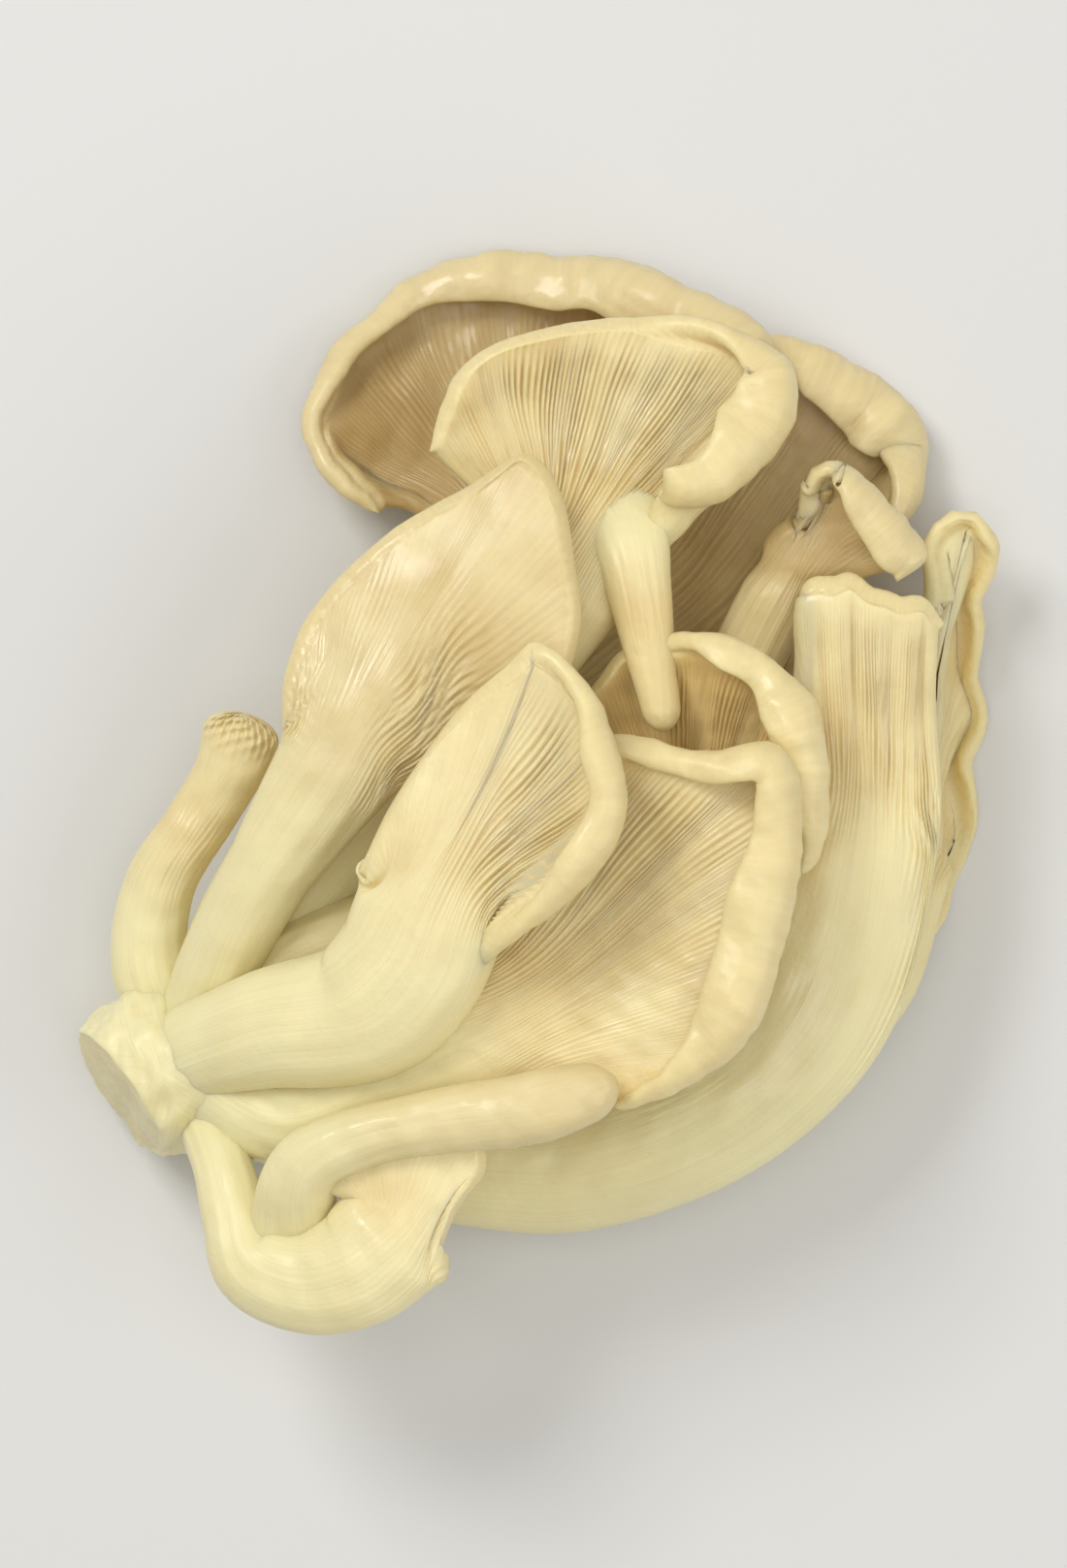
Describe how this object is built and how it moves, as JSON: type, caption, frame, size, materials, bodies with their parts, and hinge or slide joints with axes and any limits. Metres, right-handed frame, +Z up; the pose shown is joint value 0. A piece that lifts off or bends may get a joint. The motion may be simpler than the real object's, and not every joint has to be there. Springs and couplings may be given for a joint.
{
  "type": "oyster mushroom cluster",
  "caption": "Cluster of overlapping oyster mushroom caps with gills and rolled rims, on stems that grow from one cut base, lying on its back.",
  "frame": {"origin": "centre of the footprint on the surface that the cluster lies on", "axes": "+Z up out of the gill side, +Y towards the far cap, along the longest extent"},
  "size_m": [0.0928, 0.1094, 0.0409],
  "materials": {
    "flesh": "moist satin mushroom flesh, pale cream"
  },
  "bodies": {
    "root": {"oyster_cluster": "flesh"}
  },
  "joints": []
}
